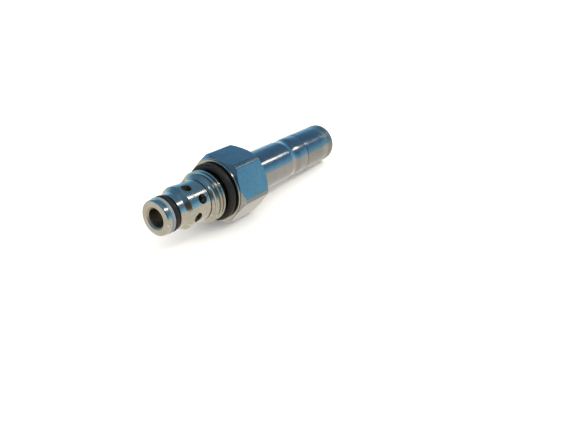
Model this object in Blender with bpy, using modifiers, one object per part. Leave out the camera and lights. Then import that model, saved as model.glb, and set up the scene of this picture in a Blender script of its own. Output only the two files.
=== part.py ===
"""Solenoid-operated screw-in cartridge valve, two ports, normally closed, without its coil.

The valve's own axis is world X. The nose, with port 1 in its tip, points to -X, and the tube
that the coil slides over points to +X. The origin is on the axis, half way along the valve.
Two opposite flats of the hexagon face up and down, so the valve lies on one of them.
Stations are distances from the tip of the nose. All sizes are in metres.
"""

import math

import bpy

# Clearance between any two pieces that touch or slide on each other.
FIT = 0.0003

# Lengths along the axis, from the tip of the nose to the far end.
NOSE_LENGTH = 0.0101
LAND_LENGTH = 0.0024
NECK_LENGTH = 0.0067
THREAD_LENGTH = 0.0058
UNDERCUT_LENGTH = 0.0042
WASHER_FACE_LENGTH = 0.0008
HEX_LENGTH = 0.0159
TUBE_LENGTH = 0.0344
HEAD_LENGTH = 0.0206

# Outer radii.
NOSE_RADIUS = 0.00635
THREAD_RADIUS = 0.009525
THREAD_LEAD_LENGTH = 0.0022
THREAD_LEAD_DEPTH = 0.0017
THREAD_DEPTH = 0.001225
NECK_STEP = 0.0007
LAND_RISE = 0.0002
HEX_ACROSS_FLATS = 0.024
HEX_CORNER_CUT = 0.0004
WASHER_FACE_INSET = 0.0003
HEX_CHAMFER_LENGTH = 0.0018
TUBE_RADIUS = 0.0081

# Nose: rounded edge, port 1 and the seal groove.
NOSE_EDGE = 0.0012
PORT_RADIUS = 0.0034
PORT_CHAMFER = 0.0007
SHOULDER_CONE_LENGTH = 0.0017
GROOVE_SETBACK = 0.0081
GROOVE_DEPTH = 0.0020
BACKUP_RING_WIDTH = 0.0011
NOSE_RING_SECTION = 0.0019

# Port 2: two rows of cross holes, the second row turned half a step.
CROSS_HOLE_RADIUS = 0.0018
HOLE_ROW_SETBACK = 0.0033
HOLE_ROW_SPACING = 0.0031
FRONT_ROW_ANGLE = 260.0
HOLES_PER_ROW = 4

# Port seal under the hexagon.
PORT_RING_SECTION = 0.0023

# Poppet end of the valve.
SPIGOT_STEP = 0.0007
CAGE_WALL = 0.0017
CAGE_END_GAP = 0.0018
SEAT_SETBACK = 0.0036
SEAT_LENGTH = 0.0026
SEAT_WALL = 0.0018
SEAT_CONE = 0.0009
POPPET_TIP_STEP = 0.0009
POPPET_STEM_STEP = 0.0010
POPPET_GUIDE_SETBACK = 0.0006
POPPET_END_GAP = 0.0034
POPPET_SKIRT_WALL = 0.0013
POPPET_SKIRT_DEPTH = 0.0070
GUIDE_RING_WIDTH = 0.0013
GUIDE_RING_THICKNESS = 0.0006
PILOT_BORE_RADIUS = 0.0008
PILOT_SEAT_RADIUS = 0.0016
PILOT_SEAT_LENGTH = 0.0020
PILOT_ORIFICE_RADIUS = 0.0005
POPPET_LIFT = 0.0020

# Armature end of the valve.
ARMATURE_STROKE = 0.0024
TUBE_WALL = 0.0011
TUBE_ENTRY = 0.0111
POLE_SPIGOT_LENGTH = 0.0169
ARMATURE_FACE_GAP = 0.0009
PILOT_PIN_REACH = 0.0011
VENT_SLOT_WIDTH = 0.0016
VENT_SLOT_DEPTH = 0.0012
PILOT_PIN_RADIUS = 0.0010
PILOT_PIN_LENGTH = 0.0028
PILOT_PIN_CONE = 0.0007
CROSS_PIN_RADIUS = 0.00075
CROSS_PIN_SETBACK = 0.0016
SHIM_THICKNESS = 0.0003
SPRING_RADIUS = 0.0021
SPRING_WIRE_RADIUS = 0.0003
SPRING_TURNS = 9
SPRING_POCKET_DEPTH = 0.0120
POLE_POCKET_DEPTH = 0.0050
SPRING_WASHER_THICKNESS = 0.0006

# Rolled groove that locks the tube to the pole piece, and the rounded far end.
CRIMP_FROM_TUBE_END = 0.0086
CRIMP_HALF_WIDTH = 0.0038
CRIMP_DEPTH = 0.00048
HEAD_ROUND_LENGTH = 0.0012
HEAD_ROUND_DEPTH = 0.0012

# Static seals of the tube and the pole piece.
STATIC_RING_SECTION = 0.0015
STATIC_BACKUP_WIDTH = 0.0007
TUBE_SEAL_SETBACK = 0.0024
POLE_SEAL_SETBACK = 0.0012

# Faces around the axis.
OUTER_STEPS = 40
INNER_STEPS = 24
RING_STEPS = 8
HOLE_STEPS = 16

# Stations of the main steps.
SHOULDER = NOSE_LENGTH
NECK = SHOULDER + LAND_LENGTH
THREAD = NECK + NECK_LENGTH
UNDERCUT = THREAD + THREAD_LENGTH
SEAT_FACE = UNDERCUT + UNDERCUT_LENGTH
HEX_FRONT = SEAT_FACE + WASHER_FACE_LENGTH
HEX_BACK = HEX_FRONT + HEX_LENGTH
TUBE_END = HEX_BACK + TUBE_LENGTH
FAR_END = TUBE_END + HEAD_LENGTH

# Fits that follow from the sizes above.
UNDERCUT_RADIUS = THREAD_RADIUS - THREAD_DEPTH
NECK_RADIUS = UNDERCUT_RADIUS - NECK_STEP
LAND_RADIUS = NECK_RADIUS + LAND_RISE
GROOVE_START = SHOULDER - GROOVE_SETBACK
HEX_BAR_RADIUS = HEX_ACROSS_FLATS / math.sqrt(3) - HEX_CORNER_CUT
WASHER_FACE_RADIUS = HEX_ACROSS_FLATS / 2 - WASHER_FACE_INSET
TUBE_START = HEX_BACK - TUBE_ENTRY + FIT
TUBE_BORE = TUBE_RADIUS - TUBE_WALL
POLE_RADIUS = TUBE_BORE - FIT
POLE_FACE = TUBE_END - POLE_SPIGOT_LENGTH
CRIMP = TUBE_END - CRIMP_FROM_TUBE_END
SHIM_START = POLE_FACE - FIT - SHIM_THICKNESS
BACK_ROW = THREAD - HOLE_ROW_SETBACK
FRONT_ROW = BACK_ROW - HOLE_ROW_SPACING
SPIGOT_RADIUS = NECK_RADIUS - SPIGOT_STEP
CAGE_BORE = SPIGOT_RADIUS - CAGE_WALL
CAGE_END = TUBE_START - CAGE_END_GAP
SEAT_POCKET = SHOULDER - SEAT_SETBACK
SEAT_END = SEAT_POCKET + FIT + SEAT_LENGTH
SEAT_BORE_RADIUS = CAGE_BORE - FIT - SEAT_WALL
POPPET_RADIUS = CAGE_BORE - FIT
POPPET_TIP_RADIUS = SEAT_BORE_RADIUS - POPPET_TIP_STEP
POPPET_STEM_RADIUS = POPPET_RADIUS - POPPET_STEM_STEP
POPPET_GUIDE_START = THREAD - POPPET_GUIDE_SETBACK
POPPET_END = CAGE_END - POPPET_END_GAP
SKIRT_BORE = POPPET_RADIUS - POPPET_SKIRT_WALL
SKIRT_FLOOR = POPPET_END - POPPET_SKIRT_DEPTH
PILOT_SEAT_END = SKIRT_FLOOR - FIT
PILOT_PIN_TIP = PILOT_SEAT_END + FIT
PILOT_PIN_END = PILOT_PIN_TIP + PILOT_PIN_LENGTH
CROSS_PIN = PILOT_PIN_END + CROSS_PIN_SETBACK
ARMATURE_RADIUS = TUBE_BORE - FIT
ARMATURE_NOSE = PILOT_PIN_TIP + PILOT_PIN_REACH
ARMATURE_FACE = TUBE_START + ARMATURE_FACE_GAP
ARMATURE_END = SHIM_START - FIT - ARMATURE_STROKE
SPRING_BORE = SPRING_RADIUS + SPRING_WIRE_RADIUS + 2 * FIT
HEAD_ROUND = FAR_END - HEAD_ROUND_LENGTH


def along(station):
    """World X of a distance from the tip of the nose."""
    return station - FAR_END / 2


def start_clean():
    for old in list(bpy.data.objects):
        bpy.data.objects.remove(old, do_unlink=True)
    parts = bpy.data.collections.new("cartridge_valve")
    tools = bpy.data.collections.new("cutters")
    bpy.context.scene.collection.children.link(parts)
    bpy.context.scene.collection.children.link(tools)
    return parts, tools


PARTS, CUTTERS = start_clean()


def material(name, colour, metallic, roughness):
    made = bpy.data.materials.new(name)
    made.use_nodes = True
    shader = made.node_tree.nodes["Principled BSDF"]
    shader.inputs["Base Color"].default_value = (*colour, 1.0)
    shader.inputs["Metallic"].default_value = metallic
    shader.inputs["Roughness"].default_value = roughness
    return made


def put(thing, collection):
    for owner in list(thing.users_collection):
        owner.objects.unlink(thing)
    collection.objects.link(thing)
    return thing


def moving_frame(name):
    """An empty on the valve's axis that carries the pieces of one moving body."""
    frame = bpy.data.objects.new(name, None)
    PARTS.objects.link(frame)
    return frame


def finish(thing, name, colour, metallic, roughness):
    thing.name = name
    thing.data.name = name
    thing.data.materials.append(material(name, colour, metallic, roughness))


def shade_round(thing, angle=30.0):
    thing.data.shade_smooth()
    thing.data.set_sharp_from_angle(angle=math.radians(angle))


def turned(profile, reference, steps=OUTER_STEPS):
    """Turn (station, radius) points about the axis. The points run down the outer side from
    the far end to the nose, and back along the bore. Where the section meets the axis, the
    outline stays open along it."""
    mesh = bpy.data.meshes.new("profile")
    points = [(radius, 0.0, station - reference) for station, radius in profile]
    follower = {i: (i + 1) % len(points) for i in range(len(points))}
    edges = [(i, j) for i, j in follower.items() if points[i][0] > 0 or points[j][0] > 0]
    mesh.from_pydata(points, edges, [])
    piece = bpy.data.objects.new("turned", mesh)
    PARTS.objects.link(piece)
    piece.location = (along(reference), 0.0, 0.0)
    piece.rotation_euler = (0.0, math.pi / 2, 0.0)
    screw = piece.modifiers.new("turn", "SCREW")
    screw.axis = "Z"
    screw.angle = 2 * math.pi
    screw.steps = steps
    screw.render_steps = steps
    screw.use_merge_vertices = True
    screw.merge_threshold = 0.00001
    screw.use_smooth_shade = True
    return piece


def rubber_ring(station, centre_radius, section, steps=OUTER_STEPS):
    """A round ring of round section, centred on the axis."""
    bpy.ops.mesh.primitive_torus_add(
        major_segments=steps,
        minor_segments=RING_STEPS,
        major_radius=centre_radius,
        minor_radius=section / 2,
        location=(along(station), 0.0, 0.0),
        rotation=(0.0, math.pi / 2, 0.0),
    )
    piece = put(bpy.context.active_object, PARTS)
    piece.data.shade_smooth()
    return piece


def flat_ring(start, width, outer, inner, steps=INNER_STEPS):
    """A ring of rectangular section."""
    end = start + width
    profile = [(end, outer), (start, outer), (start, inner), (end, inner)]
    return turned(profile, start, steps)


def rod_cutter(station, radius, length, angle):
    """A cylinder across the axis, at an angle from straight up, turning towards +Y."""
    bpy.ops.mesh.primitive_cylinder_add(
        vertices=HOLE_STEPS,
        radius=radius,
        depth=length,
        location=(along(station), 0.0, 0.0),
        rotation=(-math.radians(angle), 0.0, 0.0),
    )
    return put(bpy.context.active_object, CUTTERS)


def box_cutter(start, end, width, height, offset):
    """A box from one station to another, its centre raised from the axis by offset."""
    bpy.ops.mesh.primitive_cube_add(
        size=1.0, location=((along(start) + along(end)) / 2, 0.0, offset)
    )
    piece = put(bpy.context.active_object, CUTTERS)
    piece.scale = (end - start, width, height)
    return piece


def boolean(piece, tool, operation="DIFFERENCE"):
    tool.hide_render = True
    tool.display_type = "WIRE"
    step = piece.modifiers.new(operation.lower(), "BOOLEAN")
    step.operation = operation
    step.solver = "EXACT"
    step.object = tool


def edge_arc(corner_station, corner_radius, radius, count=3):
    """Points that round a convex edge at the nose side, from the outer side to the face."""
    points = []
    for i in range(count + 1):
        angle = math.pi / 2 * i / count
        station = corner_station + radius * (1 - math.sin(angle))
        points.append((station, corner_radius - radius * (1 - math.cos(angle))))
    return points


def head_arc(count=5):
    """Points of the head's rounded end, from the flat far face to the cylinder."""
    points = []
    for i in range(count + 1):
        angle = math.pi / 2 * i / count
        station = HEAD_ROUND + HEAD_ROUND_LENGTH * math.cos(angle)
        points.append((station, TUBE_RADIUS - HEAD_ROUND_DEPTH * (1 - math.sin(angle))))
    return points


def crimp_dip(base_radius, count=6):
    """The rolled groove on a cylinder of one radius, from its far side to its near side."""
    points = []
    for i in range(count + 1):
        across = 1 - 2 * i / count
        depth = CRIMP_DEPTH * math.cos(across * math.pi / 2) ** 2
        points.append((CRIMP + across * CRIMP_HALF_WIDTH, base_radius - depth))
    return points


def make_body():
    """Hexagon, washer face, undercut and thread in one piece, bored right through."""
    bore = SPIGOT_RADIUS + FIT
    tube_bore = TUBE_RADIUS + FIT
    seal_floor = tube_bore + STATIC_RING_SECTION
    seal_start = TUBE_START + TUBE_SEAL_SETBACK
    seal_width = STATIC_RING_SECTION + STATIC_BACKUP_WIDTH + 3 * FIT
    face = WASHER_FACE_RADIUS
    profile = [
        (HEX_BACK, face),
        (HEX_BACK - HEX_CHAMFER_LENGTH, HEX_BAR_RADIUS),
        (HEX_FRONT + HEX_CHAMFER_LENGTH, HEX_BAR_RADIUS),
        (HEX_FRONT, face),
        (SEAT_FACE, face),
        (SEAT_FACE, UNDERCUT_RADIUS),
        (UNDERCUT, UNDERCUT_RADIUS),
        (UNDERCUT - (THREAD_RADIUS - UNDERCUT_RADIUS) / 2, THREAD_RADIUS),
        (THREAD + THREAD_LEAD_LENGTH, THREAD_RADIUS),
        (THREAD, THREAD_RADIUS - THREAD_LEAD_DEPTH),
        (THREAD, bore),
        (TUBE_START - FIT, bore),
        (TUBE_START - FIT, tube_bore),
        (seal_start, tube_bore),
        (seal_start, seal_floor),
        (seal_start + seal_width, seal_floor),
        (seal_start + seal_width, tube_bore),
        (HEX_BACK, tube_bore),
    ]
    piece = turned(profile, SEAT_FACE)
    bpy.ops.mesh.primitive_cylinder_add(
        vertices=6,
        radius=HEX_ACROSS_FLATS / 2 / math.cos(math.pi / 6),
        depth=FAR_END,
        location=(along(SEAT_FACE), 0.0, 0.0),
        rotation=(0.0, math.pi / 2, 0.0),
    )
    boolean(piece, put(bpy.context.active_object, CUTTERS), "INTERSECT")
    shade_round(piece)
    finish(piece, "hex_body", (0.42, 0.45, 0.44), 1.0, 0.28)


def make_cage():
    """Nose, seal groove, land and neck, with the cross holes of port 2 and the poppet's bore."""
    groove_floor = NOSE_RADIUS - GROOVE_DEPTH
    groove_end = GROOVE_START + BACKUP_RING_WIDTH + NOSE_RING_SECTION + 3 * FIT
    neck_end = THREAD - FIT
    profile = [
        (CAGE_END, SPIGOT_RADIUS),
        (neck_end, SPIGOT_RADIUS),
        (neck_end, NECK_RADIUS),
        (NECK + LAND_RADIUS - NECK_RADIUS, NECK_RADIUS),
        (NECK, LAND_RADIUS),
        (SHOULDER, LAND_RADIUS),
        (SHOULDER - SHOULDER_CONE_LENGTH, NOSE_RADIUS),
        (groove_end, NOSE_RADIUS),
        (groove_end, groove_floor),
        (GROOVE_START, groove_floor),
        (GROOVE_START, NOSE_RADIUS),
        *edge_arc(0.0, NOSE_RADIUS, NOSE_EDGE),
        (0.0, PORT_RADIUS + PORT_CHAMFER),
        (PORT_CHAMFER, PORT_RADIUS),
        (SEAT_POCKET, PORT_RADIUS),
        (SEAT_POCKET, CAGE_BORE),
        (CAGE_END, CAGE_BORE),
    ]
    piece = turned(profile, 0.0)
    step = 360.0 / HOLES_PER_ROW
    for station, first in ((FRONT_ROW, FRONT_ROW_ANGLE), (BACK_ROW, FRONT_ROW_ANGLE + step / 2)):
        for i in range(HOLES_PER_ROW // 2):
            tool = rod_cutter(station, CROSS_HOLE_RADIUS, 3 * LAND_RADIUS, first + i * step)
            boolean(piece, tool)
    shade_round(piece)
    finish(piece, "nose_cage", (0.62, 0.59, 0.52), 1.0, 0.3)


def make_nose_seals():
    """A light backup ring and a black O-ring, side by side in the nose groove."""
    floor = NOSE_RADIUS - GROOVE_DEPTH + FIT
    backup = flat_ring(
        GROOVE_START + FIT, BACKUP_RING_WIDTH, NOSE_RADIUS + FIT / 2, floor, OUTER_STEPS
    )
    shade_round(backup)
    finish(backup, "nose_backup_ring", (0.42, 0.44, 0.52), 0.0, 0.45)
    station = GROOVE_START + 2 * FIT + BACKUP_RING_WIDTH + NOSE_RING_SECTION / 2
    ring = rubber_ring(station, floor + NOSE_RING_SECTION / 2, NOSE_RING_SECTION)
    finish(ring, "nose_o_ring", (0.012, 0.011, 0.011), 0.0, 0.35)


def make_port_ring():
    station = SEAT_FACE - FIT - PORT_RING_SECTION / 2
    radius = UNDERCUT_RADIUS + FIT + PORT_RING_SECTION / 2
    ring = rubber_ring(station, radius, PORT_RING_SECTION)
    finish(ring, "port_o_ring", (0.012, 0.011, 0.011), 0.0, 0.35)


def make_seat():
    """Hardened ring with the conical seat that closes port 1."""
    start = SEAT_POCKET + FIT
    outer = CAGE_BORE - FIT
    profile = [
        (SEAT_END, outer),
        (start, outer),
        (start, SEAT_BORE_RADIUS),
        (SEAT_END - SEAT_CONE, SEAT_BORE_RADIUS),
        (SEAT_END, SEAT_BORE_RADIUS + SEAT_CONE),
    ]
    piece = turned(profile, start, INNER_STEPS)
    shade_round(piece)
    finish(piece, "seat_ring", (0.50, 0.50, 0.50), 1.0, 0.2)


def make_poppet(frame):
    """Main poppet: closing cone, slim stem, guide with a ring groove, and a skirt at the back
    that the end of the armature reaches into."""
    cone_at_seat_end = SEAT_BORE_RADIUS + SEAT_CONE - FIT * math.sqrt(2)
    tip = SEAT_END - (cone_at_seat_end - POPPET_TIP_RADIUS)
    cone_end = SEAT_END + (POPPET_STEM_RADIUS - cone_at_seat_end)
    guide_step = POPPET_GUIDE_START - (POPPET_RADIUS - POPPET_STEM_RADIUS) / 2
    ring_start = POPPET_GUIDE_START + GUIDE_RING_WIDTH / 2
    ring_end = ring_start + GUIDE_RING_WIDTH + 2 * FIT
    ring_floor = POPPET_RADIUS - GUIDE_RING_THICKNESS - FIT
    pocket = PILOT_SEAT_RADIUS + FIT
    pocket_floor = PILOT_SEAT_END - PILOT_SEAT_LENGTH - FIT
    profile = [
        (POPPET_END, POPPET_RADIUS),
        (ring_end, POPPET_RADIUS),
        (ring_end, ring_floor),
        (ring_start, ring_floor),
        (ring_start, POPPET_RADIUS),
        (POPPET_GUIDE_START, POPPET_RADIUS),
        (guide_step, POPPET_STEM_RADIUS),
        (cone_end, POPPET_STEM_RADIUS),
        (tip, POPPET_TIP_RADIUS),
        (tip, PILOT_BORE_RADIUS),
        (pocket_floor, PILOT_BORE_RADIUS),
        (pocket_floor, pocket),
        (SKIRT_FLOOR, pocket),
        (SKIRT_FLOOR, SKIRT_BORE),
        (POPPET_END, SKIRT_BORE),
    ]
    poppet = turned(profile, tip, INNER_STEPS)
    play = ARMATURE_STROKE - POPPET_LIFT
    slot_half = CROSS_PIN_RADIUS + FIT
    slot = box_cutter(
        CROSS_PIN - slot_half, CROSS_PIN + slot_half + play, 3 * POPPET_RADIUS, 2 * slot_half, 0.0
    )
    boolean(poppet, slot)
    shade_round(poppet)
    finish(poppet, "main_poppet", (0.45, 0.45, 0.46), 1.0, 0.22)
    poppet.parent = frame

    ring = flat_ring(
        ring_start + FIT, GUIDE_RING_WIDTH, POPPET_RADIUS, POPPET_RADIUS - GUIDE_RING_THICKNESS
    )
    shade_round(ring)
    finish(ring, "poppet_guide_ring", (0.30, 0.19, 0.10), 0.0, 0.5)
    ring.parent = frame

    start = PILOT_SEAT_END - PILOT_SEAT_LENGTH
    cone = PILOT_ORIFICE_RADIUS
    profile = [
        (PILOT_SEAT_END, PILOT_SEAT_RADIUS),
        (start, PILOT_SEAT_RADIUS),
        (start, PILOT_ORIFICE_RADIUS),
        (PILOT_SEAT_END - cone / 2, PILOT_ORIFICE_RADIUS),
        (PILOT_SEAT_END, PILOT_ORIFICE_RADIUS + cone / 2),
    ]
    seat = turned(profile, start, INNER_STEPS)
    shade_round(seat)
    finish(seat, "pilot_seat", (0.55, 0.42, 0.20), 1.0, 0.3)
    seat.parent = frame


def make_armature(frame):
    """Armature with its slim front end, two vent slots and the pocket of its spring."""
    nose_radius = SKIRT_BORE - FIT
    pin_bore = PILOT_PIN_RADIUS + FIT
    pocket_floor = ARMATURE_END - SPRING_POCKET_DEPTH
    profile = [
        (ARMATURE_END, ARMATURE_RADIUS),
        (ARMATURE_FACE + FIT, ARMATURE_RADIUS),
        (ARMATURE_FACE, ARMATURE_RADIUS - FIT),
        (ARMATURE_FACE, nose_radius),
        (ARMATURE_NOSE, nose_radius),
        (ARMATURE_NOSE, pin_bore),
        (PILOT_PIN_END + FIT, pin_bore),
        (PILOT_PIN_END + FIT, 0.0),
    ]
    armature = turned(profile + spring_pocket(pocket_floor), ARMATURE_NOSE, INNER_STEPS)
    for side in (1, -1):
        middle = side * (ARMATURE_RADIUS - VENT_SLOT_DEPTH / 2 + FIT)
        boolean(
            armature,
            box_cutter(
                ARMATURE_FACE - FIT,
                ARMATURE_END + FIT,
                VENT_SLOT_WIDTH,
                VENT_SLOT_DEPTH + 2 * FIT,
                middle,
            ),
        )
    boolean(armature, rod_cutter(CROSS_PIN, CROSS_PIN_RADIUS + FIT, 3 * nose_radius, 90.0))
    shade_round(armature)
    finish(armature, "armature", (0.40, 0.40, 0.40), 1.0, 0.35)
    armature.parent = frame

    tip_radius = PILOT_PIN_RADIUS - PILOT_PIN_CONE
    profile = [
        (PILOT_PIN_END, 0.0),
        (PILOT_PIN_END, PILOT_PIN_RADIUS),
        (PILOT_PIN_TIP + PILOT_PIN_CONE, PILOT_PIN_RADIUS),
        (PILOT_PIN_TIP, tip_radius),
        (PILOT_PIN_TIP, 0.0),
    ]
    pin = turned(profile, PILOT_PIN_TIP, INNER_STEPS)
    shade_round(pin)
    finish(pin, "pilot_pin", (0.55, 0.55, 0.56), 1.0, 0.18)
    pin.parent = frame

    bpy.ops.mesh.primitive_cylinder_add(
        vertices=HOLE_STEPS,
        radius=CROSS_PIN_RADIUS,
        depth=2 * (POPPET_RADIUS - FIT),
        location=(along(CROSS_PIN), 0.0, 0.0),
        rotation=(math.pi / 2, 0.0, 0.0),
    )
    cross_pin = put(bpy.context.active_object, PARTS)
    shade_round(cross_pin)
    finish(cross_pin, "cross_pin", (0.50, 0.50, 0.50), 1.0, 0.25)
    cross_pin.parent = frame

    washer = flat_ring(
        pocket_floor + FIT,
        SPRING_WASHER_THICKNESS,
        SPRING_BORE - FIT,
        SPRING_RADIUS - 2 * SPRING_WIRE_RADIUS,
    )
    shade_round(washer)
    finish(washer, "spring_washer", (0.50, 0.50, 0.50), 1.0, 0.3)
    washer.parent = frame


def spring_pocket(floor):
    """The rest of the armature's section: the floor and the wall of its spring pocket."""
    return [(floor, 0.0), (floor, SPRING_BORE), (ARMATURE_END, SPRING_BORE)]


def make_spring():
    """Return spring between the washer in the armature and the floor of the pole's pocket."""
    first = ARMATURE_END - SPRING_POCKET_DEPTH + 2 * FIT + SPRING_WASHER_THICKNESS
    last = POLE_FACE + POLE_POCKET_DEPTH - FIT
    start = first + SPRING_WIRE_RADIUS
    length = last - first - 2 * SPRING_WIRE_RADIUS
    per_turn = 8
    count = SPRING_TURNS * per_turn + 1
    curve = bpy.data.curves.new("armature_spring", "CURVE")
    curve.dimensions = "3D"
    curve.bevel_depth = SPRING_WIRE_RADIUS
    curve.bevel_resolution = 2
    curve.use_fill_caps = True
    line = curve.splines.new("POLY")
    line.points.add(count - 1)
    for i, point in enumerate(line.points):
        angle = 2 * math.pi * i / per_turn
        x = length * i / (count - 1)
        y = SPRING_RADIUS * math.cos(angle)
        z = SPRING_RADIUS * math.sin(angle)
        point.co = (x, y, z, 1.0)
    coil = bpy.data.objects.new("armature_spring", curve)
    PARTS.objects.link(coil)
    coil.location = (along(start), 0.0, 0.0)
    finish(coil, "armature_spring", (0.55, 0.55, 0.56), 1.0, 0.25)


def make_tube():
    """Pressure-tight tube that the coil slides over and the armature runs in."""
    profile = [
        (TUBE_END - FIT, TUBE_RADIUS),
        *crimp_dip(TUBE_RADIUS),
        (TUBE_START, TUBE_RADIUS),
        (TUBE_START, TUBE_BORE),
        *reversed(crimp_dip(TUBE_BORE)),
        (TUBE_END - FIT, TUBE_BORE),
    ]
    piece = turned(profile, TUBE_START)
    shade_round(piece)
    finish(piece, "guide_tube", (0.40, 0.44, 0.46), 1.0, 0.2)


def make_pole_piece():
    """Fixed core: a spigot inside the tube and a head that carries the tube's outline on."""
    seal_start = POLE_FACE + POLE_SEAL_SETBACK
    seal_end = seal_start + STATIC_RING_SECTION + STATIC_BACKUP_WIDTH + 3 * FIT
    seal_floor = POLE_RADIUS - STATIC_RING_SECTION
    pocket_floor = POLE_FACE + POLE_POCKET_DEPTH
    profile = [
        (FAR_END, 0.0),
        *head_arc(),
        (TUBE_END, TUBE_RADIUS),
        (TUBE_END, POLE_RADIUS),
        *crimp_dip(POLE_RADIUS),
        (seal_end, POLE_RADIUS),
        (seal_end, seal_floor),
        (seal_start, seal_floor),
        (seal_start, POLE_RADIUS),
        (POLE_FACE, POLE_RADIUS),
        (POLE_FACE, SPRING_BORE),
        (pocket_floor, SPRING_BORE),
        (pocket_floor, 0.0),
    ]
    piece = turned(profile, POLE_FACE)
    shade_round(piece)
    finish(piece, "pole_piece", (0.40, 0.44, 0.46), 1.0, 0.22)

    shim = flat_ring(SHIM_START, SHIM_THICKNESS, POLE_RADIUS - FIT, SPRING_BORE + FIT)
    shade_round(shim)
    finish(shim, "air_gap_shim", (0.60, 0.45, 0.20), 1.0, 0.3)


def make_static_seals():
    """An O-ring and a backup ring between body and tube, and between tube and pole piece."""
    half = STATIC_RING_SECTION / 2
    trimmed = STATIC_RING_SECTION - FIT
    sets = (
        ("tube", TUBE_START + TUBE_SEAL_SETBACK, TUBE_RADIUS + FIT + half),
        ("pole", POLE_FACE + POLE_SEAL_SETBACK, POLE_RADIUS - half),
    )
    for name, start, centre in sets:
        ring = rubber_ring(start + FIT + half, centre, trimmed, INNER_STEPS)
        finish(ring, f"{name}_o_ring", (0.012, 0.011, 0.011), 0.0, 0.4)
        backup = flat_ring(
            start + 2 * FIT + STATIC_RING_SECTION,
            STATIC_BACKUP_WIDTH,
            centre + trimmed / 2,
            centre - trimmed / 2,
        )
        shade_round(backup)
        finish(backup, f"{name}_backup_ring", (0.75, 0.74, 0.70), 0.0, 0.45)


def main():
    poppet_frame = moving_frame("poppet_slide")
    armature_frame = moving_frame("armature_slide")
    make_body()
    make_cage()
    make_nose_seals()
    make_port_ring()
    make_seat()
    make_poppet(poppet_frame)
    make_armature(armature_frame)
    make_spring()
    make_tube()
    make_pole_piece()
    make_static_seals()


main()
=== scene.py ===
"""Looks of the screw-in cartridge valve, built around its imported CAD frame.

The valve's axis is world X with the nose towards -X. Stations are distances in millimetres
from the tip of the nose, and radii are in millimetres too. Meshes are made in metres.
"""

import math

import bmesh
import bpy
import numpy as np
from mathutils import Matrix, Vector


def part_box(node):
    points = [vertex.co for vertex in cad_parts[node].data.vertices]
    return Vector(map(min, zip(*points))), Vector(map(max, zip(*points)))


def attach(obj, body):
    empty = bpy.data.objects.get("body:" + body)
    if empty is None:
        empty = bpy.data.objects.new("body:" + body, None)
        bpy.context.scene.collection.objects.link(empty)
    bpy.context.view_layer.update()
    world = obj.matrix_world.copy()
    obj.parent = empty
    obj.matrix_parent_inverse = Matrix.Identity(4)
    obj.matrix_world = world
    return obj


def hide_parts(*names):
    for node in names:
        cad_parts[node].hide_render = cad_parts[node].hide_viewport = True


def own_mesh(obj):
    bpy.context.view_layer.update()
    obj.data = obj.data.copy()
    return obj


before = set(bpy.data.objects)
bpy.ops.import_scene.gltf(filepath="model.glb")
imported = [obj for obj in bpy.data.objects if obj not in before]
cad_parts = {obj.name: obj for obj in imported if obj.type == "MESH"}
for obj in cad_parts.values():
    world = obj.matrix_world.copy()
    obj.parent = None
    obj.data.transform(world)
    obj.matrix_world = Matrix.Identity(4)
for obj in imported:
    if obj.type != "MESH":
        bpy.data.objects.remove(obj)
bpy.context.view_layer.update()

MM = 0.001
HOUSING = "housing"
NOSE_TIP_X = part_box("nose_cage")[0].x
TURN_STEPS = 192
BODY_STEPS = 384
CUTTER_STEPS = 64

# Stations of the visible steps.
GROOVE, BACKUP_END, SEAL_END, GROOVE_END = 2.0, 3.45, 5.75, 5.9
PORT_END, CONE, SHOULDER, NECK = 6.5, 8.4, 10.1, 12.5
FRONT_ROW, BACK_ROW = 12.8, 15.9
THREAD_START, THREAD_END = 19.2, 25.0
SEAT_FACE, HEX_FRONT, HEX_BACK = 29.2, 30.0, 45.9
CAGE_END, TUBE_START, POLE_FACE = 33.3, 35.1, 63.4
CRIMP, CRIMP_HALF, CRIMP_DEPTH = 71.7, 3.8, 0.48
TUBE_END, HEAD_BAND, FAR_END = 80.3, 94.7, 100.9
SPRING_START, SPRING_END = 49.3, 68.1

# Radii.
NOSE_RADIUS, GROOVE_FLOOR, PORT_RADIUS, PORT_MOUTH = 6.35, 4.4, 3.4, 4.05
LAND_RADIUS, NECK_RADIUS, SPIGOT_RADIUS, CAGE_BORE = 7.8, 7.6, 6.9, 5.2
HOLE_RADIUS, HOLE_EDGE = 1.8, 0.12
UNDERCUT_RADIUS, LEAD_RADIUS, BODY_BORE, TUBE_POCKET = 8.3, 7.85, 7.2, 8.4
TUBE_RADIUS, TUBE_BORE, POLE_RADIUS = 8.1, 7.0, 6.7
SPRING_RADIUS, WIRE_RADIUS = 2.1, 0.3

# Angles of the first hole of each row, from straight up towards +Y.
FRONT_ROW_ANGLE, BACK_ROW_ANGLE = 80.0, 35.0

POCKET_DEPTH = 5.0


def along(station):
    """World X in metres of a station in millimetres."""
    return NOSE_TIP_X + station * MM


# ---------------------------------------------------------------- node materials


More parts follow.
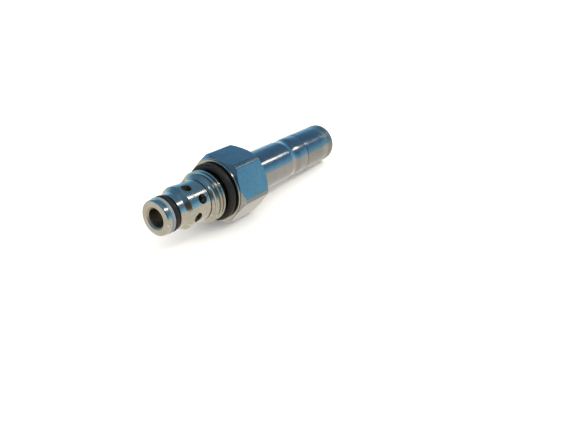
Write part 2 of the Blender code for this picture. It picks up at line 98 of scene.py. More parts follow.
class Nodes:
    """Builds one node material, with short calls for the nodes that repeat."""

    def __init__(self, name):
        self.material = bpy.data.materials.new(name)
        self.material.use_nodes = True
        self.tree = self.material.node_tree
        self.shader = self.tree.nodes["Principled BSDF"]
        self.coordinates = self.tree.nodes.new("ShaderNodeTexCoord")

    def link(self, source, target):
        self.tree.links.new(source, target)

    def mapped(self, scale):
        """Object coordinates, scaled by three numbers."""
        node = self.tree.nodes.new("ShaderNodeMapping")
        node.inputs["Scale"].default_value = scale
        self.link(self.coordinates.outputs["Object"], node.inputs["Vector"])
        return node.outputs["Vector"]

    def noise(self, scale, size, detail=2.0, roughness=0.5, distortion=0.0):
        """Noise of a size, stretched by the three numbers of scale."""
        node = self.tree.nodes.new("ShaderNodeTexNoise")
        node.inputs["Scale"].default_value = size
        node.inputs["Detail"].default_value = detail
        node.inputs["Roughness"].default_value = roughness
        node.inputs["Distortion"].default_value = distortion
        self.link(self.mapped(scale), node.inputs["Vector"])
        return node.outputs["Fac"]

    def ramp(self, source, stops):
        """A colour ramp through (position, colour) stops."""
        node = self.tree.nodes.new("ShaderNodeValToRGB")
        bar = node.color_ramp
        while len(bar.elements) < len(stops):
            bar.elements.new(0.5)
        for element, (position, colour) in zip(bar.elements, stops):
            element.position = position
            element.color = (*colour, 1.0)
        self.link(source, node.inputs["Fac"])
        return node.outputs["Color"]

    def span(self, source, low, high, out_low, out_high):
        """Maps a range of one value to another, held at both ends."""
        node = self.tree.nodes.new("ShaderNodeMapRange")
        node.inputs["From Min"].default_value = low
        node.inputs["From Max"].default_value = high
        node.inputs["To Min"].default_value = out_low
        node.inputs["To Max"].default_value = out_high
        self.link(source, node.inputs["Value"])
        return node.outputs["Result"]

    def math(self, operation, first, second):
        """One operation on two values, each a number or a socket."""
        node = self.tree.nodes.new("ShaderNodeMath")
        node.operation = operation
        for socket, value in zip(node.inputs, (first, second)):
            if isinstance(value, (int, float)):
                socket.default_value = value
            else:
                self.link(value, socket)
        return node.outputs["Value"]

    def mix(self, factor, first, second, mode="MIX"):
        """Mixes two colours, each a colour or a socket."""
        node = self.tree.nodes.new("ShaderNodeMixRGB")
        node.blend_type = mode
        for name, value in (("Fac", factor), ("Color1", first), ("Color2", second)):
            socket = node.inputs[name]
            if isinstance(value, (int, float)):
                socket.default_value = value
            elif isinstance(value, tuple):
                socket.default_value = (*value, 1.0)
            else:
                self.link(value, socket)
        return node.outputs["Color"]

    def bump(self, height, distance, strength, before=None):
        """Bumps the surface by a height, on top of the bump before it."""
        node = self.tree.nodes.new("ShaderNodeBump")
        node.inputs["Distance"].default_value = distance
        node.inputs["Strength"].default_value = strength
        self.link(height, node.inputs["Height"])
        if before is not None:
            self.link(before, node.inputs["Normal"])
        return node.outputs["Normal"]

    def edges(self, low, high):
        """1 on convex edges, 0 elsewhere."""
        node = self.tree.nodes.new("ShaderNodeNewGeometry")
        return self.span(node.outputs["Pointiness"], low, high, 0.0, 1.0)

    def set(self, name, value):
        """Sets one socket of the shader, or links it."""
        socket = self.shader.inputs[name]
        if isinstance(value, (int, float, tuple)):
            socket.default_value = value
        else:
            self.link(value, socket)


def metal(name, tone, tint, roughness, marks=0.25, turning=True, wear=0.5, stain=0.35):
    """Plated or ground metal: two near tones in clouds, fine lathe marks round the axis,
    tiny pits, rubbed bright edges and dull handling stains."""
    n = Nodes(name)
    clouds = n.noise((1, 1, 1), 160.0, 4.0, 0.6, 0.4)
    fine = n.noise((1, 1, 1), 1400.0, 3.0, 0.6)
    colour = n.ramp(clouds, [(0.32, tone), (0.68, tint)])
    speck = n.span(fine, 0.30, 0.46, 0.80, 1.0)
    colour = n.mix(1.0, colour, speck, "MULTIPLY")
    blotch = n.span(n.noise((1, 1, 1), 420.0, 5.0, 0.65, 0.8), 0.60, 0.78, 0.0, stain)
    dull = tuple(0.55 * c for c in tone)
    colour = n.mix(blotch, colour, dull)
    worn = n.math("MULTIPLY", n.edges(0.52, 0.60), wear)
    bright = tuple(min(1.0, 1.35 * c + 0.05) for c in tint)
    colour = n.mix(worn, colour, bright)
    n.set("Base Color", colour)
    n.set("Metallic", 1.0)
    if turning:
        lathe = n.noise((1.0, 0.03, 0.03), 5200.0, 2.0, 0.55)
        broad = n.noise((1.0, 0.05, 0.05), 900.0, 2.0, 0.5)
    else:
        lathe = n.noise((0.06, 1.0, 1.0), 4200.0, 2.0, 0.55)
        broad = n.noise((0.10, 1.0, 1.0), 700.0, 2.0, 0.5)
    gloss = n.math("ADD", n.span(lathe, 0.3, 0.7, -0.05, 0.07), n.span(clouds, 0.3, 0.7, -0.03, 0.05))
    gloss = n.math("ADD", gloss, n.math("MULTIPLY", blotch, 0.35))
    n.set("Roughness", n.math("ADD", gloss, roughness))
    normal = n.bump(lathe, 0.00001, marks)
    normal = n.bump(broad, 0.00003, marks * 0.8, normal)
    n.set("Normal", n.bump(fine, 0.000008, 0.25, normal))
    return n.material


def rubber(name, tone, dust):
    """Moulded rubber with a faint bloom, fine grain and dust that rests in patches."""
    n = Nodes(name)
    patches = n.noise((1, 1, 1), 300.0, 5.0, 0.65, 0.5)
    grain = n.noise((1, 1, 1), 6000.0, 3.0, 0.6)
    colour = n.ramp(patches, [(0.40, tone), (0.72, dust)])
    n.set("Base Color", n.mix(0.2, colour, n.ramp(grain, [(0.3, tone), (0.7, dust)])))
    n.set("Roughness", n.span(patches, 0.3, 0.8, 0.26, 0.48))
    n.set("Specular IOR Level", 0.16)
    n.set("Normal", n.bump(grain, 0.00001, 0.35, n.bump(patches, 0.00003, 0.3)))
    return n.material


def polymer(name, tone, second, roughness):
    """Machined polymer ring: faint turning marks, soft mottling and a slight translucence."""
    n = Nodes(name)
    mottle = n.noise((1, 1, 1), 500.0, 4.0, 0.6)
    marks = n.noise((1.0, 0.04, 0.04), 7000.0, 2.0, 0.5)
    n.set("Base Color", n.ramp(mottle, [(0.35, tone), (0.70, second)]))
    n.set("Roughness", n.span(marks, 0.3, 0.7, roughness - 0.06, roughness + 0.10))
    n.set("Subsurface Weight", 0.12)
    n.set("Subsurface Scale", 0.0008)
    n.set("Normal", n.bump(marks, 0.00001, 0.4))
    return n.material


# Each metal: two tones, roughness, depth of its marks, whether they run round the axis, wear
# of its edges, and strength of its stains.
ZINC = metal("zinc_hexagon", (0.32, 0.32, 0.30), (0.37, 0.36, 0.335), 0.15, 0.20, False, 0.35, 0.25)
# The hexagon's corner bands get a darker, rougher copy of its zinc: the darker tone is painted shade that
# dims the window's highlight there.
ZINC_EDGE_PAINTED_SHADE = metal("zinc_edge_painted_shade", (0.23, 0.25, 0.25), (0.27, 0.28, 0.27), 0.28, 0.20, False, 0.35, 0.25)
ZINC_TURNED = metal("zinc_turned", (0.41, 0.385, 0.33), (0.49, 0.46, 0.39), 0.15, 0.30, True, 0.5, 0.35)
CHAMPAGNE = metal("zinc_champagne", (0.44, 0.415, 0.355), (0.52, 0.49, 0.42), 0.15, 0.30, True, 0.5, 0.35)
TUBE_METAL = metal("tube_steel", (0.31, 0.305, 0.29), (0.36, 0.35, 0.33), 0.16, 0.16, True, 0.3, 0.20)
HEAD_METAL = metal("pole_head", (0.27, 0.27, 0.265), (0.32, 0.315, 0.30), 0.20, 0.18, True, 0.35, 0.25)
# The far end band: a rougher turned finish, with a warm tint that is a painted reflection of warm
# surroundings.
HEAD_END_PAINTED_REFLECTION = metal("turned_end_painted_reflection", (0.27, 0.25, 0.205), (0.36, 0.34, 0.28), 0.34, 0.40, True, 0.4, 0.3)
# The port, the bore and the cross holes get a browner, darker and rougher copy of the nose's metal: its
# darker tone is painted shade for the inside of these recesses.
BORE_PAINTED_SHADE = metal("bore_painted_shade", (0.44, 0.36, 0.26), (0.56, 0.47, 0.35), 0.40, 0.5, True, 0.1, 0.4)
GROUND = metal("ground_steel", (0.40, 0.40, 0.41), (0.50, 0.50, 0.51), 0.20, 0.25, True, 0.4, 0.3)
SOFT_IRON = metal("soft_iron", (0.32, 0.32, 0.32), (0.42, 0.42, 0.41), 0.30, 0.35, True, 0.4, 0.4)
SPRING_WIRE = metal("spring_wire", (0.44, 0.43, 0.42), (0.56, 0.55, 0.53), 0.22, 0.2, True, 0.3, 0.3)
BRONZE = metal("bronze", (0.50, 0.34, 0.14), (0.62, 0.45, 0.21), 0.26, 0.3, True, 0.5, 0.5)
BLACK_RUBBER = rubber("black_rubber", (0.010, 0.0095, 0.0085), (0.022, 0.020, 0.018))
GREY_RING = polymer("grey_backup", (0.13, 0.17, 0.195), (0.18, 0.22, 0.245), 0.34)
WHITE_RING = polymer("white_backup", (0.70, 0.69, 0.65), (0.80, 0.79, 0.76), 0.42)
WEAR_RING = polymer("filled_wear_ring", (0.26, 0.16, 0.09), (0.34, 0.22, 0.13), 0.45)


# ---------------------------------------------------------------- mesh code


def rounded(corners, steps=5):
    """Rounds the corners of a closed section given as (station, radius, fillet) points."""
    points = []
    count = len(corners)
    for i, (station, radius, fillet) in enumerate(corners):
        here = np.array((station, radius))
        if fillet <= 0:
            points.append((station, radius))
            continue
        before = np.array(corners[i - 1][:2]) - here
        after = np.array(corners[(i + 1) % count][:2]) - here
        reach = min(np.linalg.norm(before), np.linalg.norm(after)) * 0.48
        before /= np.linalg.norm(before)
        after /= np.linalg.norm(after)
        half = math.acos(max(-1.0, min(1.0, float(before @ after)))) / 2
        cut = min(fillet / math.tan(half), reach)
        start = here + before * cut
        end = here + after * cut
        for k in range(steps + 1):
            t = k / steps
            bend = (1 - t) ** 2 * start + 2 * t * (1 - t) * here + t**2 * end
            points.append(tuple(bend))
    return points


def dense(points, spacing):
    """Adds points along a closed section. spacing is the longest step, as a number or as a
    function of the step's middle station and radius."""
    out = []
    for i, first in enumerate(points):
        second = points[(i + 1) % len(points)]
        middle = tuple((a + b) / 2 for a, b in zip(first, second))
        longest = spacing(*middle) if callable(spacing) else spacing
        count = max(1, math.ceil(math.dist(first, second) / longest))
        for k in range(count):
            t = k / count
            out.append(tuple(a + (b - a) * t for a, b in zip(first, second)))
    return out


def swept(name, points, steps=TURN_STEPS, shape=None):
    """Turns a closed section about the axis. shape, if given, changes each ring's radii:
    it takes stations, radii and angles, as arrays, and gives the new radii."""
    stations = np.array([p[0] for p in points])[:, None]
    radii = np.array([p[1] for p in points])[:, None]
    angles = (np.arange(steps) * 2 * math.pi / steps)[None, :]
    grid = np.broadcast_to(radii, (len(points), steps)).copy()
    if shape is not None:
        wide = np.broadcast_to(stations, grid.shape)
        grid = shape(wide, grid, np.broadcast_to(angles, grid.shape))
    x = NOSE_TIP_X + np.broadcast_to(stations, grid.shape) * MM
    y = grid * np.sin(angles) * MM
    z = grid * np.cos(angles) * MM
    vertices = np.stack([x, y, z], axis=-1).reshape(-1, 3)
    rows = len(points)
    faces = []
    for i in range(rows):
        j = (i + 1) % rows
        for k in range(steps):
            m = (k + 1) % steps
            faces.append((i * steps + k, i * steps + m, j * steps + m, j * steps + k))
    mesh = bpy.data.meshes.new(name)
    mesh.from_pydata(vertices.tolist(), [], faces)
    return finish_mesh(name, mesh)


def finish_mesh(name, mesh):
    """Drops doubled points and empty faces, turns the faces outwards and links the object."""
    work = bmesh.new()
    work.from_mesh(mesh)
    bmesh.ops.remove_doubles(work, verts=work.verts, dist=1e-7)
    bmesh.ops.dissolve_degenerate(work, edges=work.edges, dist=1e-8)
    bmesh.ops.recalc_face_normals(work, faces=work.faces)
    work.to_mesh(mesh)
    work.free()
    piece = bpy.data.objects.new(name, mesh)
    bpy.context.scene.collection.objects.link(piece)
    mesh.shade_smooth()
    return piece


def keep_sharp(piece, angle):
    """Shades a piece smooth but for edges sharper than an angle in degrees."""
    piece.data.shade_smooth()
    piece.data.set_sharp_from_angle(angle=math.radians(angle))


def place(piece, materials, slot, node):
    """Gives a finished piece its materials and its body, and hides the CAD node it stands for. The slot is
    not used.
    """
    for made in materials:
        piece.data.materials.append(made)
    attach(piece, HOUSING)
    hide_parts(node)


def paint(piece, index, test):
    """Gives another material to the faces whose centre's station and radius pass the test."""
    for face in piece.data.polygons:
        centre = face.center
        station = (centre.x - NOSE_TIP_X) / MM
        if test(station, math.hypot(centre.y, centre.z) / MM):
            face.material_index = index


def drill(piece, station, surface, first_angle):
    """Cuts a row of four cross holes, each with a small countersink, through a surface."""
    flare = HOLE_EDGE
    steps = CUTTER_STEPS
    for angle in (first_angle + 90.0 * i for i in range(4)):
        section = [
            (2.0, HOLE_RADIUS),
            (surface - flare * 1.2, HOLE_RADIUS),
            (surface + flare, HOLE_RADIUS + flare * 1.6),
            (surface + 3.0, HOLE_RADIUS + flare * 1.6 + 2.4),
        ]
        vertices = []
        for height, r in section:
            for k in range(steps):
                turn = 2 * math.pi * k / steps
                vertices.append((r * math.cos(turn) * MM, r * math.sin(turn) * MM, height * MM))
        faces = [tuple(reversed(range(steps)))]
        for i in range(len(section) - 1):
            for k in range(steps):
                m = (k + 1) % steps
                a, b = i * steps, (i + 1) * steps
                faces.append((a + k, a + m, b + m, b + k))
        faces.append(tuple((len(section) - 1) * steps + k for k in range(steps)))
        mesh = bpy.data.meshes.new("cutter")
        mesh.from_pydata(vertices, [], faces)
        cutter = bpy.data.objects.new("cutter", mesh)
        bpy.context.scene.collection.objects.link(cutter)
        turned = Matrix.Rotation(-math.radians(angle), 4, "X")
        cutter.matrix_world = Matrix.Translation((along(station), 0.0, 0.0)) @ turned
        bpy.context.view_layer.update()
        cut = piece.modifiers.new("cut", "BOOLEAN")
        cut.operation = "DIFFERENCE"
        cut.solver = "EXACT"
        cut.object = cutter
        graph = bpy.context.evaluated_depsgraph_get()
        result = bpy.data.meshes.new_from_object(piece.evaluated_get(graph))
        piece.modifiers.clear()
        piece.data = result
        bpy.data.objects.remove(cutter)


# ---------------------------------------------------------------- nose


def nose_cage():
    """Nose, seal groove, shoulder and neck with its cross holes, in one shell."""
    section = rounded(
        [
            (CAGE_END, SPIGOT_RADIUS, 0.2),
            (THREAD_START - 0.2, SPIGOT_RADIUS, 0.1),
            (THREAD_START - 0.2, NECK_RADIUS, 0.1),
            (NECK + 0.25, NECK_RADIUS, 0.2),
            (NECK, LAND_RADIUS, 0.2),
            (SHOULDER, LAND_RADIUS, 0.35),
            (CONE, NOSE_RADIUS, 0.5),
            (GROOVE_END, NOSE_RADIUS, 0.12),
            (GROOVE_END, GROOVE_FLOOR, 0.15),
            (GROOVE, GROOVE_FLOOR, 0.15),
            (GROOVE, NOSE_RADIUS, 0.15),
            (0.0, NOSE_RADIUS, 1.25),
            (0.0, PORT_MOUTH, 0.12),
            (PORT_MOUTH - PORT_RADIUS, PORT_RADIUS, 0.15),
            (PORT_END, PORT_RADIUS, 0.1),
            (PORT_END, CAGE_BORE, 0.1),
            (CAGE_END, CAGE_BORE, 0.2),
        ]
    )
    piece = swept("nose_cage_shell", dense(section, 0.8))
    drill(piece, FRONT_ROW, 7.75, FRONT_ROW_ANGLE)
    drill(piece, BACK_ROW, NECK_RADIUS, BACK_ROW_ANGLE)
    place(piece, [CHAMPAGNE, BORE_PAINTED_SHADE], "champagne_zinc", "nose_cage")

    def in_bore_painted_shade(station, radius):
        port = radius < 4.0 and station > 0.1
        bore = radius < CAGE_BORE + 0.1 and station > PORT_END - 0.1
        hole = radius < NECK_RADIUS - 0.25 and station > SHOULDER
        return port or bore or hole

    # Painted shade: faces in the port, the bore and the cross holes take the darker bore metal.
    paint(piece, 1, in_bore_painted_shade)
    keep_sharp(piece, 35)


def ring(name, centre, radius, half_width, half_height, squareness, made, slot, node):
    """A seal of a rounded section, between a circle (squareness 2) and a box."""
    points = []
    count = 28
    for i in range(count):
        turn = 2 * math.pi * i / count
        c, s = math.cos(turn), math.sin(turn)
        x = math.copysign(abs(c) ** (2 / squareness), c) * half_width
        y = math.copysign(abs(s) ** (2 / squareness), s) * half_height
        points.append((centre + x, radius + y))
    place(swept(name, points), [made], slot, node)


def nose_seals():
    """The backup ring and the O-ring in the nose groove."""
    width = (BACKUP_END - GROOVE) / 2
    size = (GROOVE + width, 5.45, width - 0.02, 1.05, 5.0)
    ring("nose_backup", *size, GREY_RING, "grey_polymer", "nose_backup_ring")
    width = (SEAL_END - BACKUP_END) / 2
    size = (BACKUP_END + width, 5.47, width, 1.08, 2.3)
    ring("nose_seal", *size, BLACK_RUBBER, "black_rubber", "nose_o_ring")


def port_seal():
    """The O-ring in the undercut below the hexagon's washer face."""
    size = (SEAT_FACE - 1.40, 9.62, 1.38, 1.30, 2.3)
    ring("port_seal", *size, BLACK_RUBBER, "black_rubber", "port_o_ring")


# ---------------------------------------------------------------- body with thread and hexagon

PITCH = 1.5875
MAJOR, ROOT = 9.525, 8.36
FLAT, CORNER = 12.0, 13.45

# A crest of the thread passes this station at this angle.
CREST, CREST_ANGLE = 24.05, math.radians(310.0)


def hexagon_radius(angles):
    """Radius of a sharp hexagon at each angle, with flats at the top and the bottom."""
    sector = (angles + math.pi / 6) % (math.pi / 3) - math.pi / 6
    return FLAT / np.cos(sector)


def soft_least(a, b, width):
    """The smaller of two, blended over width so that the edge between them is rounded."""
    h = np.clip(0.5 + 0.5 * (b - a) / width, 0.0, 1.0)
    return b + (a - b) * h - width * h * (1 - h)


def thread_radius(stations, radii, angles):
    """60 degree thread with a flat crest and a rounded root, right-hand."""
    turn = (angles - CREST_ANGLE) / (2 * math.pi)
    phase = ((stations - CREST) / PITCH + turn + 0.5) % 1.0
    ramp = np.abs(phase - 0.5) * 2.0
    flank = np.clip((ramp - 0.16) / 0.62, 0.0, 1.0)
    smooth = flank * flank * (3 - 2 * flank) * 0.35 + flank * 0.65
    threaded = MAJOR - (MAJOR - ROOT) * smooth
    return np.minimum(radii, threaded)


def body_shape(stations, radii, angles):
    """Gives the body's turned section its hexagon, with broken corners, and its thread."""
    in_hex = (stations > HEX_FRONT - 0.01) & (stations < HEX_BACK + 0.01) & (radii > 9.5)
    hexed = soft_least(radii, hexagon_radius(angles), 0.12)
    hexed = soft_least(hexed, np.full_like(radii, CORNER), 0.08)
    in_thread = (stations > THREAD_START) & (stations < THREAD_END + 0.1) & (radii > UNDERCUT_RADIUS - 0.01)
    threaded = thread_radius(stations, radii, angles)
    return np.where(in_hex, hexed, np.where(in_thread, threaded, radii))


def body_spacing(station, radius):
    """The longest step of the body's section: fine on the thread and on both chamfers."""
    outside = radius > UNDERCUT_RADIUS - 0.01 or station < THREAD_START + 1.0
    if outside and station < THREAD_END + 0.3:
        return 0.07
    if outside and (HEX_FRONT < station < HEX_FRONT + 1.9 or HEX_BACK - 1.9 < station):
        return 0.08
    if outside and station > HEX_FRONT:
        return 0.35
    return 1.0


def hex_body():
    """Hexagon with its chamfers, washer face, undercut and thread."""
    section = rounded(
        [
            (HEX_BACK, 11.6, 0.15),
            (HEX_BACK - 2.4, 14.2, 0.1),
            (HEX_FRONT + 2.3, 14.2, 0.1),
            (HEX_FRONT, 11.95, 0.1),
            (HEX_FRONT - 0.02, 11.7, 0.0),
            (SEAT_FACE, 11.7, 0.15),
            (SEAT_FACE, UNDERCUT_RADIUS, 0.3),
            (THREAD_END, UNDERCUT_RADIUS, 0.2),
            (THREAD_END - 0.5, MAJOR, 0.1),
            (THREAD_START + 2.2, MAJOR, 0.3),
            (THREAD_START, LEAD_RADIUS, 0.1),
            (THREAD_START, BODY_BORE, 0.1),
            (TUBE_START - 0.3, BODY_BORE, 0.1),
            (TUBE_START - 0.3, TUBE_POCKET, 0.1),
            (HEX_BACK - 0.5, TUBE_POCKET, 0.1),
            (HEX_BACK, 8.14, 0.1),
        ],
        4,
    )
    piece = swept("hexagon_and_thread", dense(section, body_spacing), BODY_STEPS, body_shape)
    place(piece, [ZINC, ZINC_TURNED, ZINC_EDGE_PAINTED_SHADE], "zinc_steel", "hex_body")
    paint(piece, 1, lambda station, radius: station < SEAT_FACE + 0.3)
    # Painted shade: the corner bands take the darker zinc copy, which dims the window's highlight on them.
    paint(piece, 2, lambda station, radius: radius > CORNER - 0.09)
    keep_sharp(piece, 50)


# ---------------------------------------------------------------- tube and pole piece


def crimp_points(base, from_far):
    """The rolled groove, from its far side to its near side or back."""
    points = []
    for i in range(33):
        across = 1 - 2 * i / 32
        dip = CRIMP_DEPTH * math.cos(across * math.pi / 2) ** 2
        points.append((CRIMP + across * CRIMP_HALF, base - dip))
    return points if from_far else points[::-1]


def guide_tube():
    """The tube that the coil slides on, with its rolled groove and its rounded mouth."""
    mouth = TUBE_END - 0.3
    lip = [(mouth, TUBE_BORE, 0.0), (mouth, TUBE_RADIUS, 0.18), (76.0, TUBE_RADIUS, 0.0)]
    section = [
        *rounded(lip)[1:-1],
        *crimp_points(TUBE_RADIUS, True),
        (50.0, TUBE_RADIUS),
        (TUBE_START + 0.2, TUBE_RADIUS),
        (TUBE_START, TUBE_RADIUS - 0.2),
        (TUBE_START, TUBE_BORE),
        *crimp_points(TUBE_BORE, False),
        (mouth, TUBE_BORE),
    ]
    piece = swept("coil_tube", dense(section, 1.5))
    place(piece, [TUBE_METAL], "tube_steel", "guide_tube")
    keep_sharp(piece, 40)


def pole_piece():
    """The fixed core inside the tube, and the head that closes the far end."""
    head = [
        (FAR_END, 0.0, 0.0),
        (FAR_END, 8.08, 1.2),
        (HEAD_BAND, TUBE_RADIUS, 0.05),
        (HEAD_BAND - 2.0, TUBE_RADIUS, 0.0),
    ]
    joint = TUBE_END - 0.05
    step = [
        (HEAD_BAND - 1.0, TUBE_RADIUS, 0.0),
        (joint, TUBE_RADIUS, 0.18),
        (joint, POLE_RADIUS, 0.1),
        (76.0, POLE_RADIUS, 0.0),
    ]
    section = [
        *rounded(head)[:-1],
        *rounded(step)[1:-1],
        *crimp_points(POLE_RADIUS, True),
        (67.0, POLE_RADIUS),
        (67.0, 5.2),
        (64.6, 5.2),
        (64.6, POLE_RADIUS),
        (POLE_FACE + 0.1, POLE_RADIUS),
        (POLE_FACE, 6.6),
        (POLE_FACE, 3.0),
        (POLE_FACE + POCKET_DEPTH, 3.0),
        (POLE_FACE + POCKET_DEPTH, 0.0),
    ]
    piece = swept("pole_and_head", dense(section, 1.5))
    place(piece, [HEAD_METAL, HEAD_END_PAINTED_REFLECTION], "tube_steel", "pole_piece")
    # Painted reflection: the end band beyond HEAD_BAND takes the warm tone.
    paint(piece, 1, lambda station, radius: station > HEAD_BAND)
    keep_sharp(piece, 40)


# ---------------------------------------------------------------- pieces inside


def coil_spring():
    """Smooth coil with two closed end turns."""
    turns, per_turn, sides = 11.0, 40, 12
    count = int(turns * per_turn) + 1
    length = SPRING_END - SPRING_START - 2 * WIRE_RADIUS
    end_rise = 2.2 * WIRE_RADIUS
    rise_turns = [0.0, 1.0, turns - 1.0, turns]
    rises = [0.0, end_rise, length - end_rise, length]
    vertices = []
    for i in range(count):
        turned = i / (count - 1) * turns
        closed = (1.0 - min(turned, turns - turned, 1.0)) * 0.5
        station = SPRING_START + WIRE_RADIUS + float(np.interp(turned, rise_turns, rises))
        turn = 2 * math.pi * turned
        outward = Vector((0.0, math.cos(turn), math.sin(turn)))
        centre = Vector((along(station), 0.0, 0.0)) + outward * SPRING_RADIUS * MM
        reach = WIRE_RADIUS * MM * (1.0 - 0.25 * closed)
        for k in range(sides):
            a = 2 * math.pi * k / sides
            side = Vector((reach * math.sin(a), 0, 0))
            vertices.append(centre + outward * reach * math.cos(a) + side)
    faces = [tuple(reversed(range(sides)))]
    for i in range(count - 1):
        for k in range(sides):
            m = (k + 1) % sides
            a, b = i * sides, (i + 1) * sides
            faces.append((a + k, a + m, b + m, b + k))
    faces.append(tuple((count - 1) * sides + k for k in range(sides)))
    mesh = bpy.data.meshes.new("return_spring")
    mesh.from_pydata([tuple(v) for v in vertices], [], faces)
    piece = finish_mesh("return_spring", mesh)
    place(piece, [SPRING_WIRE], "spring_steel", "armature_spring")
    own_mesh(piece)


def dress_inner_nodes():
    """Gives each CAD node that is kept as it is the material of its kind."""
    looks = {
        "seat_ring": GROUND,
        "main_poppet": GROUND,
        "poppet_guide_ring": WEAR_RING,
        "pilot_seat": BRONZE,
        "armature": SOFT_IRON,
        "pilot_pin": GROUND,
        "cross_pin": GROUND,
        "spring_washer": GROUND,
        "air_gap_shim": BRONZE,
        "tube_o_ring": BLACK_RUBBER,
        "tube_backup_ring": WHITE_RING,
        "pole_o_ring": BLACK_RUBBER,
        "pole_backup_ring": WHITE_RING,
    }
    for name, made in looks.items():
        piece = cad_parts[name]
        piece.data.materials.clear()
        piece.data.materials.append(made)


# ---------------------------------------------------------------- stage, light and camera

# The valve lies on an edge of the hexagon and on the far end of its head, nose up.
LEAN = math.radians(4.48)
FLOOR_NORMAL = Vector((-math.sin(LEAN), 0.0, math.cos(LEAN)))
REST_EDGE = Vector((-0.0049, 0.0, -0.01205))
FLOOR_HALF = 4.0

CAMERA_PLACE = Vector((-0.161456, -0.114994, 0.09865))
CAMERA_RIGHT = Vector((0.56886, -0.81089, 0.13735))
CAMERA_UP = Vector((0.34818, 0.38875, 0.85302))
CAMERA_FORWARD = Vector((0.74509, 0.43743, -0.50348))
FOCAL_PIXELS, FRAME_WIDTH, SENSOR = 560.0, 577.0, 36.0

# What reflections see of the world, by height, and the dark room behind the camera.
SKY = [
    (0.0, (0.96, 0.92, 0.85)),
    (0.05, (0.40, 0.78, 1.02)),
    (0.18, (0.26, 0.76, 1.22)),
    (0.42, (0.12, 0.30, 0.55)),
    (0.75, (0.10, 0.23, 0.41)),
    (1.0, (0.18, 0.38, 0.54)),
]
ROOM_COLOUR = (0.10, 0.065, 0.03, 1.0)
ROOM_DIRECTION = Vector((-0.72, -0.62, 0.30)).normalized()
ROOM_OUTSIDE, ROOM_INSIDE = 0.90, 0.97

# What the camera sees of the world, and what lights diffuse surfaces.
BACKDROP_COLOUR = (0.98, 0.98, 0.98, 1.0)
AMBIENT_COLOUR = (1.60, 1.57, 1.52, 1.0)

LAMP_SIZE, LAMP_DISTANCE, LAMP_POWER = 1.8, 1.3, 1.2
LAMP_COLOUR = (1.0, 0.93, 0.84)
WINDOW_COLOUR = (1.0, 0.95, 0.86)
WINDOW_TURN = math.radians(28.0)


def facing(normal, place):
    """World matrix of something whose own +Z looks along a direction."""
    return Matrix.Translation(place) @ normal.to_track_quat("Z", "Y").to_matrix().to_4x4()


def pale_floor():
    """A diffuse floor that reflections don't see, so that metal shows the sky's low tone."""
    n = Nodes("pale_floor")
    n.set("Base Color", (0.93, 0.92, 0.90, 1.0))
    n.set("Roughness", 0.8)
    n.set("Specular IOR Level", 0.2)
    h = FLOOR_HALF
    mesh = bpy.data.meshes.new("floor")
    mesh.from_pydata([(-h, -h, 0), (h, -h, 0), (h, h, 0), (-h, h, 0)], [], [(0, 1, 2, 3)])
    piece = bpy.data.objects.new("floor", mesh)
    bpy.context.scene.collection.objects.link(piece)
    piece.matrix_world = facing(FLOOR_NORMAL, REST_EDGE)
    piece.data.materials.append(n.material)
    piece.visible_glossy = False


def soft_box(name, width, length, power, colour, matrix):
    """A rectangular light of a total power, which shines along its own -Z."""
    light = bpy.data.lights.new(name, "AREA")
    light.shape = "RECTANGLE"
    light.size = width
    light.size_y = length
    light.energy = power
    light.color = colour
    lamp = bpy.data.objects.new(name, light)
    bpy.context.scene.collection.objects.link(lamp)
    lamp.matrix_world = matrix
    return lamp


def overhead_lamp():
    """A broad light high over the nose side, for diffuse surfaces only."""
    azimuth, elevation = math.radians(200), math.radians(80)
    flat = math.cos(elevation)
    towards = Vector((flat * math.cos(azimuth), flat * math.sin(azimuth), math.sin(elevation)))
    matrix = facing(towards, towards * LAMP_DISTANCE)
    lamp = soft_box("top", LAMP_SIZE, LAMP_SIZE, LAMP_POWER, LAMP_COLOUR, matrix)
    lamp.visible_glossy = False


def strip_window(name, near_angle, far_angle, width, power):
    """A long narrow soft box a metre off, its length in a plane through the valve's axis. Its
    ends are given by their angles from that axis, in degrees, as its width is. The plane is
    turned from straight up towards -Y."""
    lean = Vector((0.0, -math.sin(WINDOW_TURN), math.cos(WINDOW_TURN)))
    ends = []
    for angle in (math.radians(near_angle), math.radians(far_angle)):
        ends.append(Vector((1, 0, 0)) * math.cos(angle) + lean * math.sin(angle))
    middle = (ends[0] + ends[1]) / 2
    span = ends[0] - ends[1]
    length = span.normalized()
    outward = middle.normalized()
    turned = Matrix((length.cross(outward), length, outward)).transposed().to_4x4()
    across = 2 * math.tan(math.radians(width) / 2)
    soft_box(name, across, span.length, power, WINDOW_COLOUR, Matrix.Translation(middle) @ turned)


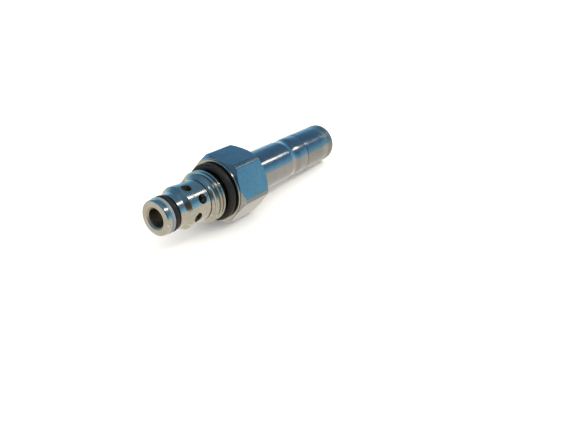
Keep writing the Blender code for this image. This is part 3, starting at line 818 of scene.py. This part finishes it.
def studio_world():
    """Blue daylight with a dark room for reflections, and near white for everything else."""
    world = bpy.data.worlds.new("studio")
    world.use_nodes = True
    tree = world.node_tree

    def mixed(factor, first, colour):
        node = tree.nodes.new("ShaderNodeMixRGB")
        node.inputs["Color2"].default_value = colour
        tree.links.new(factor, node.inputs["Fac"])
        tree.links.new(first, node.inputs["Color1"])
        return node.outputs["Color"]

    coordinates = tree.nodes.new("ShaderNodeTexCoord").outputs["Generated"]
    parts = tree.nodes.new("ShaderNodeSeparateXYZ")
    tree.links.new(coordinates, parts.inputs[0])
    sky = tree.nodes.new("ShaderNodeValToRGB")
    while len(sky.color_ramp.elements) < len(SKY):
        sky.color_ramp.elements.new(0.5)
    for element, (position, colour) in zip(sky.color_ramp.elements, SKY):
        element.position = position
        element.color = (*colour, 1.0)
    tree.links.new(parts.outputs["Z"], sky.inputs["Fac"])
    towards = tree.nodes.new("ShaderNodeVectorMath")
    towards.operation = "DOT_PRODUCT"
    tree.links.new(coordinates, towards.inputs[0])
    towards.inputs[1].default_value = ROOM_DIRECTION
    dark = tree.nodes.new("ShaderNodeMapRange")
    dark.inputs["From Min"].default_value = ROOM_OUTSIDE
    dark.inputs["From Max"].default_value = ROOM_INSIDE
    tree.links.new(towards.outputs["Value"], dark.inputs["Value"])
    ray = tree.nodes.new("ShaderNodeLightPath")
    reflected = mixed(dark.outputs["Result"], sky.outputs["Color"], ROOM_COLOUR)
    seen = mixed(ray.outputs["Is Camera Ray"], reflected, BACKDROP_COLOUR)
    light = mixed(ray.outputs["Is Diffuse Ray"], seen, AMBIENT_COLOUR)
    tree.links.new(light, tree.nodes["Background"].inputs["Color"])
    bpy.context.scene.world = world


def stage_and_light():
    """Floor, world, overhead lamp, and one window strip each for the tube and the nose. The
    gap between the strips keeps the highlight off the hexagon."""
    pale_floor()
    studio_world()
    overhead_lamp()
    strip_window("window", 40.5, 43.5, 6.0, 0.2)
    strip_window("window_nose", 50.0, 112.0, 7.0, 2.2)
    bpy.context.scene.view_settings.view_transform = "Standard"


def camera():
    """The camera, at the place and turn that fit the valve's outline."""
    data = bpy.data.cameras.new("camera")
    data.sensor_fit = "HORIZONTAL"
    data.sensor_width = SENSOR
    data.lens = FOCAL_PIXELS / FRAME_WIDTH * SENSOR
    data.clip_start = 0.005
    eye = bpy.data.objects.new("camera", data)
    bpy.context.scene.collection.objects.link(eye)
    turn = Matrix((CAMERA_RIGHT, CAMERA_UP, -CAMERA_FORWARD)).transposed()
    eye.matrix_world = Matrix.Translation(CAMERA_PLACE) @ turn.to_4x4()
    bpy.context.scene.camera = eye


nose_cage()
nose_seals()
hex_body()
port_seal()
guide_tube()
pole_piece()
coil_spring()
dress_inner_nodes()
stage_and_light()
camera()
